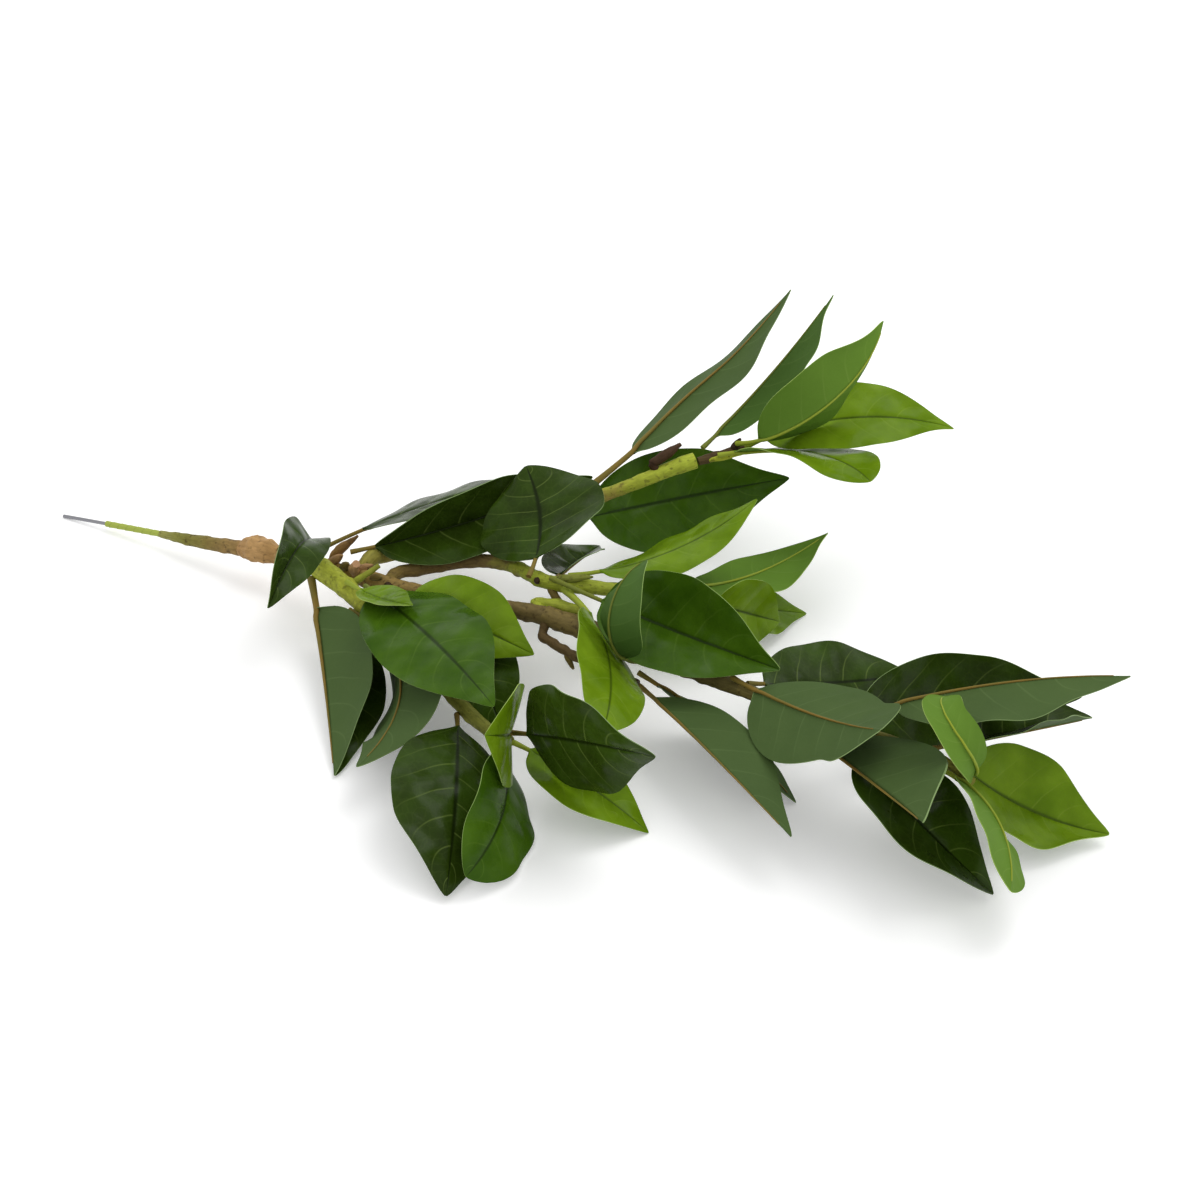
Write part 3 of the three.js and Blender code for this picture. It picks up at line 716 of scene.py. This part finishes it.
# Per stem: dye tones from its start to its end, share of dark specks, height of its lumps, gap between
# its leaf nodes and their height, and its buds as (place along, turn round the stem, length, radius,
# lean, look). Heights, gaps, lengths and radii are in millimetres, turns and leans in degrees.
stemHabits = {
    "stem_sleeve": {"tones": ["#94924e", "#7e7c36", "#86723e", "#987a4a"], "specks": 0.7, "lumps": 0.3,
                    "knotGap": 13, "knotHeight": 0.7, "buds": []},
    "stem_knob": {"tones": ["#a5804f", "#b8925f", "#a88350"], "specks": 0.45, "lumps": 1.3,
                  "knotGap": 9, "knotHeight": 0.9, "buds": []},
    "main_stem": {"tones": ["#a8865a", "#93793f", "#857040", "#6e5f38"], "specks": 0.55, "lumps": 0.6,
                  "knotGap": 15, "knotHeight": 1.1,
                  "buds": [(0.09, 200, 9, 2.4, 60, "tan"), (0.21, 80, 13, 3.0, 42, "tan"),
                           (0.28, 110, 11, 2.8, 50, "brown"), (0.33, 70, 12, 2.7, 35, "tan"),
                           (0.4, 120, 10, 2.5, 30, "brown"), (0.46, 150, 9, 2.2, 38, "dark"),
                           (0.62, 100, 9, 2.2, 30, "tan")]},
    "thick_stem": {"tones": ["#7a6a3c", "#70623a", "#6a6036"], "specks": 0.6, "lumps": 0.55,
                   "knotGap": 15, "knotHeight": 1.0, "buds": [(0.2, 170, 4, 2.6, 75, "dark")]},
    "tip_branch": {"tones": ["#76693a", "#7e7a38", "#868436"], "specks": 0.5, "lumps": 0.3,
                   "knotGap": 18, "knotHeight": 0.7, "buds": []},
    "back_branch": {"tones": ["#8f8a3c", "#94883e", "#a08248", "#a78856", "#a5904c", "#9ea636", "#a8b43c"],
                    "specks": 0.5, "lumps": 0.3, "knotGap": 22, "knotHeight": 0.8, "buds": []},
    "back_twig": {"tones": ["#54442a", "#4a3822"], "specks": 0.4, "lumps": 0.4, "knotGap": 7,
                  "knotHeight": 0.8, "buds": [(0.15, 190, 19, 1.5, 14, "lime"),
                                              (0.75, 95, 8, 2.1, 55, "dark")]},
    "middle_branch": {"tones": ["#7e6c38", "#6e5a32", "#74623a", "#98a334", "#98a334", "#9aa53a", "#88903a"],
                      "specks": 0.45, "lumps": 0.35, "knotGap": 20, "knotHeight": 0.9,
                      "buds": [(0.61, 75, 21, 2.5, 17, "olive"), (0.6, 235, 19, 2.3, 48, "brown"),
                               (0.57, 165, 5, 2.0, 70, "dark")]},
    "front_branch": {"tones": ["#a9b13e", "#a4ab3a", "#91923a", "#868838", "#80823a"], "specks": 0.4,
                     "lumps": 0.45, "knotGap": 19, "knotHeight": 0.8, "buds": []},
    "thin_twig": {"tones": ["#6c5836", "#5c4c2e"], "specks": 0.5, "lumps": 0.4, "knotGap": 7,
                  "knotHeight": 1.0, "buds": [(0.4, 250, 9, 1.7, 45, "brown")]},
    "junction_bud": {"tones": ["#a37e4a", "#8a6a3c", "#6e5230"], "specks": 0.4, "lumps": 0.3, "knotGap": 5,
                     "knotHeight": 0.3, "buds": []},
    "junction_stub": {"tones": ["#a98a58", "#b58c66"], "specks": 0.25, "lumps": 0.3, "knotGap": 30,
                      "knotHeight": 0, "buds": []},
    "junction_spur": {"tones": ["#98a038", "#8a9034"], "specks": 0.3, "lumps": 0.3, "knotGap": 5,
                      "knotHeight": 0.3, "buds": []},
    "upper_stub": {"tones": ["#a3ad38", "#abb640", "#a3ac40"], "specks": 0.25, "lumps": 0.3, "knotGap": 12,
                   "knotHeight": 0.7, "buds": []},
    "back_calyx": {"tones": ["#3c2a1a", "#4a3422"], "specks": 0.3, "lumps": 0.5, "knotGap": 5,
                   "knotHeight": 0.6, "buds": []},
}


def spreadTones(ramp, tones):
    ramp.elements[0].color = linear(tones[0])
    ramp.elements[1].color = linear(tones[-1])
    for number in range(1, len(tones) - 1):
        ramp.elements.new(number / (len(tones) - 1)).color = linear(tones[number])


def mouldedStem(name, tones, specks, length):
    # polyethylene stem skin moulded over wire: the dye changes along it, with dark specks rubbed into
    # the hollows and fine lengthwise fibres pressed by the mould
    material, tree = newMaterial(name)
    coords = addNode(tree, "TexCoord")
    place = addNode(tree, "UVMap", {"uv_map": "stemMap"})
    parts = addNode(tree, "SeparateXYZ", None, {0: place.outputs[0]})
    drift = addNode(tree, "TexNoise", {"Scale": 1 / stemFinish["driftSize"], "Detail": 4},
                    {"Vector": coords.outputs["Object"]})
    shift = addNode(tree, "Math", {"operation": "MULTIPLY_ADD", 1: stemFinish["drift"],
                                   2: -stemFinish["drift"] / 2},
                    {0: drift.outputs["Fac"]})
    along = addNode(tree, "Math", {"operation": "ADD"}, {0: parts.outputs["Y"], 1: shift.outputs[0]})
    ramp = addNode(tree, "ValToRGB", None, {0: along.outputs[0]})
    spreadTones(ramp.color_ramp, tones)
    angle = addNode(tree, "Math", {"operation": "MULTIPLY", 1: 2 * math.pi}, {0: parts.outputs["X"]})
    across = addNode(tree, "Math", {"operation": "COSINE"}, {0: angle.outputs[0]})
    over = addNode(tree, "Math", {"operation": "SINE"}, {0: angle.outputs[0]})
    stretched = addNode(tree, "Math", {"operation": "MULTIPLY", 1: length / stemFinish["fibreLength"]},
                        {0: parts.outputs["Y"]})
    fibrePlace = addNode(tree, "CombineXYZ", None,
                         {"X": across.outputs[0], "Y": over.outputs[0], "Z": stretched.outputs[0]})
    fibre = addNode(tree, "TexNoise", {"Scale": stemFinish["fibres"], "Detail": 4,
                                       "Roughness": stemFinish["fibreRoughness"]},
                    {"Vector": fibrePlace.outputs[0]})
    shade = addNode(tree, "MapRange", {"From Min": stemFinish["fibreStart"],
                                       "From Max": stemFinish["fibreEnd"],
                                       "To Min": stemFinish["fibreDark"], "To Max": stemFinish["fibreLight"]},
                    {"Value": fibre.outputs["Fac"]})
    shaded = addNode(tree, "MixRGB", {"blend_type": "MULTIPLY", "Fac": stemFinish["fibreShare"]},
                     {"Color1": ramp.outputs[0], "Color2": shade.outputs[0]})
    dots = addNode(tree, "TexNoise", {"Scale": 1 / stemFinish["speckSize"], "Detail": 3},
                   {"Vector": coords.outputs["Object"]})
    marks = addNode(tree, "MapRange", {"From Min": stemFinish["speckStart"],
                                       "From Max": stemFinish["speckEnd"], "To Max": specks},
                    {"Value": dots.outputs["Fac"]})
    marked = addNode(tree, "MixRGB", {"Color2": linear(stemFinish["speckColour"])},
                     {"Fac": marks.outputs[0], "Color1": shaded.outputs[0]})
    height = addNode(tree, "Math", {"operation": "MULTIPLY_ADD", 1: stemFinish["speckDepth"]},
                     {0: marks.outputs[0], 2: fibre.outputs["Fac"]})
    bump = addNode(tree, "Bump", {"Strength": stemFinish["bump"], "Distance": stemFinish["bumpDepth"]},
                   {"Height": height.outputs[0]})
    rough = addNode(tree, "MapRange", {"To Min": stemFinish["gloss"], "To Max": stemFinish["dull"]},
                    {"Value": drift.outputs["Fac"]})
    shader = addNode(tree, "BsdfPrincipled",
                     {"IOR": plastic["index"], "Specular IOR Level": plastic["shine"]},
                     {"Base Color": marked.outputs[0], "Roughness": rough.outputs[0],
                      "Normal": bump.outputs[0]})
    addNode(tree, "OutputMaterial", None, {"Surface": shader.outputs[0]})
    return material


def readRod(node):
    # centre line and radii of a solid stem, from its end nearest the bare wire
    rings, _ = readRings(node)
    centres = np.array([ring.mean(0) for ring in rings])
    radii = np.array([np.linalg.norm(ring - ring.mean(0), axis=1).mean() for ring in rings])
    if (Vector(centres[-1]) - wireEnd).length < (Vector(centres[0]) - wireEnd).length:
        return centres[::-1], radii[::-1]
    return centres, radii


def readSheath(node):
    # a hollow length has an outer and a bore ring at each station, a few millimetres apart along X
    corners = np.array(sorted(v.co[:] for v in nodes[node].data.vertices))
    cuts = np.flatnonzero(np.diff(corners[:, 0]) > stemBuild["sheathStationGap"]) + 1
    stations = np.split(corners, cuts)
    centres = np.array([np.unique(s.round(7), axis=0).mean(0) for s in stations])
    radii = np.array([np.linalg.norm(s - s.mean(0), axis=1).max() for s in stations])
    return centres, radii


def rootOf(node, start):
    # the nearest point on the middle of the stem that this one grows from
    trunk, _ = readRod(parentOf[node])
    return trunk[np.linalg.norm(trunk - start, axis=1).argmin()]


def fineLine(centres, radii, reach, rowStep, root=None):
    # a denser line and its radii, run on past both ends to meet the neighbours
    first = centres[0] - unit(centres[1] - centres[0]) * reach
    last = centres[-1] + unit(centres[-1] - centres[-2]) * reach
    line = np.concatenate([[first], centres[1:-1], [last]])
    if root is not None:
        line = np.concatenate([[root], centres[:-1], [last]])
        radii = np.concatenate([[radii[0] * stemBuild["rootRadius"]], radii])
    knots = knotsAlong(line)
    length = np.linalg.norm(np.diff(line, axis=0), axis=1).sum()
    rows = max(stemBuild["fewestRows"], round(length / rowStep))
    places = np.linspace(0, 1, rows + 1)
    return smoothLine(line, knots, places), np.interp(places, knots, radii), length


def barkRelief(radii, length, habit, seed):
    # lumpy skin with a swelling at each leaf node, stronger on one side of the stem
    dice = random.Random(seed)
    swellings = []
    place = habit["knotGap"] * dice.uniform(*stemBuild["firstKnot"])
    while place < length / mm:
        swellings.append((place, dice.uniform(0, 2 * math.pi), dice.uniform(*stemBuild["knotShare"])))
        place += habit["knotGap"] * dice.uniform(*stemBuild["nextKnot"])

    def relief(row, angle):
        s = row / (len(radii) - 1) * length / mm
        r = radii[row] / mm
        spot = Vector((s + stemBuild["seedStep"] * seed, r * math.cos(angle), r * math.sin(angle)))
        rise = habit["lumps"] * noise.noise(spot / stemBuild["lumpSize"])
        rise += habit["lumps"] * stemBuild["grainShare"] * noise.noise(spot / stemBuild["grainSize"])
        for middle, towards, share in swellings:
            near = math.exp(-((s - middle) / stemBuild["knotWidth"]) ** 2)
            turned = stemBuild["knotAllRound"] + stemBuild["knotOneSide"] * math.cos(angle - towards)
            rise += habit["knotHeight"] * share * near * turned
        return radii[row] + rise * mm

    return relief


def addBuds(bm, centres, radii, buds):
    # small side growths: a tapered form that leans away from the stem and bends back along it
    ahead, side, lift = turnedFrame(centres)
    profile = budBuild["profile"]
    for number, (at, turn, length, radius, lean, _) in enumerate(buds):
        row = round(at * (len(centres) - 1))
        turned = math.radians(turn)
        out = side[row] * math.cos(turned) + lift[row] * math.sin(turned)
        leaned = math.radians(lean)
        way = ahead[row] * math.cos(leaned) + out * math.sin(leaned)
        t = np.linspace(0, 1, budBuild["stations"])[:, None]
        start = centres[row] + out * radii[row] * budBuild["sink"]
        line = start + way * t * length * mm + ahead[row] * t**2 * length * budBuild["bendBack"] * mm
        sizes = np.interp(t[:, 0], np.linspace(0, 1, len(profile)), profile) * radius * mm
        relief = barkRelief(sizes, length * mm, budBuild["skin"], number + budBuild["firstSeed"])
        joinInto(bm, tube(line, sizes, budBuild["sides"], number + 1, relief, "stemMap"))


def makeStem(node, seed):
    habit = stemHabits[node]
    centres, radii = readSheath(node) if node == "stem_sleeve" else readRod(node)
    root = rootOf(node, centres[0]) if node in parentOf else None
    line, sizes, length = fineLine(centres, radii, stemBuild["reach"], stemBuild["rowStep"], root)
    relief = barkRelief(sizes, length, habit, seed)
    bm = tube(line, sizes, stemBuild["sides"], 0, relief, "stemMap")
    addBuds(bm, line, sizes, habit["buds"])
    materials = [mouldedStem(pieceName(node) + "Bark", habit["tones"], habit["specks"], length)]
    for number, (_, _, budLength, _, _, look) in enumerate(habit["buds"]):
        name = pieceName(node) + "Bud" + str(number)
        materials.append(mouldedStem(name, [budLooks[look]] * 2, budBuild["specks"], budLength * mm))
    addPiece(pieceName(node), bm, materials, node)


for seed, node in enumerate(stemHabits):
    makeStem(node, seed)
print("stage:", len(stemHabits), "stems")


# linesAlong and linesAcross are counted in a metre
wire = {
    "sides": 20, "rowStep": 2 * mm, "colour": "#8b8b90", "metallic": 0.9, "gloss": 0.28, "dull": 0.53,
    "linesAlong": 20, "linesAcross": 900, "bump": 0.15, "bumpDepth": 0.1 * mm,
}
# pitch and step, the tape's advance in a turn and the height of its edge, are in millimetres
tape = {
    "sides": 32, "rowStep": 0.5 * mm, "pitch": 6.5, "step": 0.28, "seamWidth": 0.16,
    "colour": "#a3b04e", "shade": "#8c9a40", "crinkle": 0.9 * mm, "crinkleRoughness": 0.7,
    "worn": 0.75, "fresh": 1.1, "wear": 0.6, "bump": 0.5, "bumpDepth": 0.3 * mm,
    "roughness": 0.75, "shine": 0.25,
}


def drawnSteel():
    # steel wire drawn through a die: fine lines run along it, with a dull film
    material, tree = newMaterial("drawnSteelWire")
    coords = addNode(tree, "TexCoord")
    stretch = (wire["linesAlong"], wire["linesAcross"], wire["linesAcross"])
    stretched = addNode(tree, "VectorMath", {"operation": "MULTIPLY", 1: stretch},
                        {0: coords.outputs["Object"]})
    lines = addNode(tree, "TexNoise", {"Scale": 1, "Detail": 3}, {"Vector": stretched.outputs[0]})
    film = addNode(tree, "MapRange", {"To Min": wire["gloss"], "To Max": wire["dull"]},
                   {"Value": lines.outputs["Fac"]})
    bump = addNode(tree, "Bump", {"Strength": wire["bump"], "Distance": wire["bumpDepth"]},
                   {"Height": lines.outputs["Fac"]})
    shader = addNode(tree, "BsdfPrincipled",
                     {"Base Color": linear(wire["colour"]), "Metallic": wire["metallic"]},
                     {"Roughness": film.outputs[0], "Normal": bump.outputs[0]})
    addNode(tree, "OutputMaterial", None, {"Surface": shader.outputs[0]})
    return material


def waxedTape(length):
    # crepe paper tape soaked in wax and wound on a slant: each turn's edge is darker and crinkled
    material, tree = newMaterial("waxedPaperTape")
    coords = addNode(tree, "TexCoord")
    place = addNode(tree, "UVMap", {"uv_map": "stemMap"})
    parts = addNode(tree, "SeparateXYZ", None, {0: place.outputs[0]})
    turns = addNode(tree, "Math", {"operation": "MULTIPLY_ADD", 1: length / mm / tape["pitch"]},
                    {0: parts.outputs["Y"], 2: parts.outputs["X"]})
    wrap = addNode(tree, "Math", {"operation": "FRACT"}, {0: turns.outputs[0]})
    seam = addNode(tree, "MapRange", {"From Max": tape["seamWidth"], "To Min": 1, "To Max": 0},
                   {"Value": wrap.outputs[0]})
    base = addNode(tree, "MixRGB", {"Color1": linear(tape["colour"]), "Color2": linear(tape["shade"])},
                   {"Fac": seam.outputs[0]})
    crinkle = addNode(tree, "TexNoise", {"Scale": 1 / tape["crinkle"], "Detail": 4,
                                         "Roughness": tape["crinkleRoughness"]},
                      {"Vector": coords.outputs["Object"]})
    worn = addNode(tree, "MapRange", {"To Min": tape["worn"], "To Max": tape["fresh"]},
                   {"Value": crinkle.outputs["Fac"]})
    toned = addNode(tree, "MixRGB", {"blend_type": "MULTIPLY", "Fac": tape["wear"]},
                    {"Color1": base.outputs[0], "Color2": worn.outputs[0]})
    bump = addNode(tree, "Bump", {"Strength": tape["bump"], "Distance": tape["bumpDepth"]},
                   {"Height": crinkle.outputs["Fac"]})
    shader = addNode(tree, "BsdfPrincipled",
                     {"Roughness": tape["roughness"], "Specular IOR Level": tape["shine"]},
                     {"Base Color": toned.outputs[0], "Normal": bump.outputs[0]})
    addNode(tree, "OutputMaterial", None, {"Surface": shader.outputs[0]})
    return material


def makeWire():
    centres, radii = readRod("wire_core")
    line, sizes, _ = fineLine(centres, radii, 0, wire["rowStep"])
    core = tube(line, sizes, wire["sides"], 0, None, "stemMap")
    addPiece("wireCore", core, [drawnSteel()], "wire_core")


def makeTape():
    centres, radii = readSheath("floral_tape")
    line, sizes, length = fineLine(centres, radii, stemBuild["reach"], tape["rowStep"])

    def overlap(row, angle):
        turns = row / (len(sizes) - 1) * length / mm / tape["pitch"] + angle / (2 * math.pi)
        return sizes[row] + tape["step"] * mm * (0.5 - turns % 1)

    wound = tube(line, sizes, tape["sides"], 0, overlap, "stemMap")
    addPiece("floralTape", wound, [waxedTape(length)], "floral_tape")


makeWire()
makeTape()
print("stage: wire and tape")
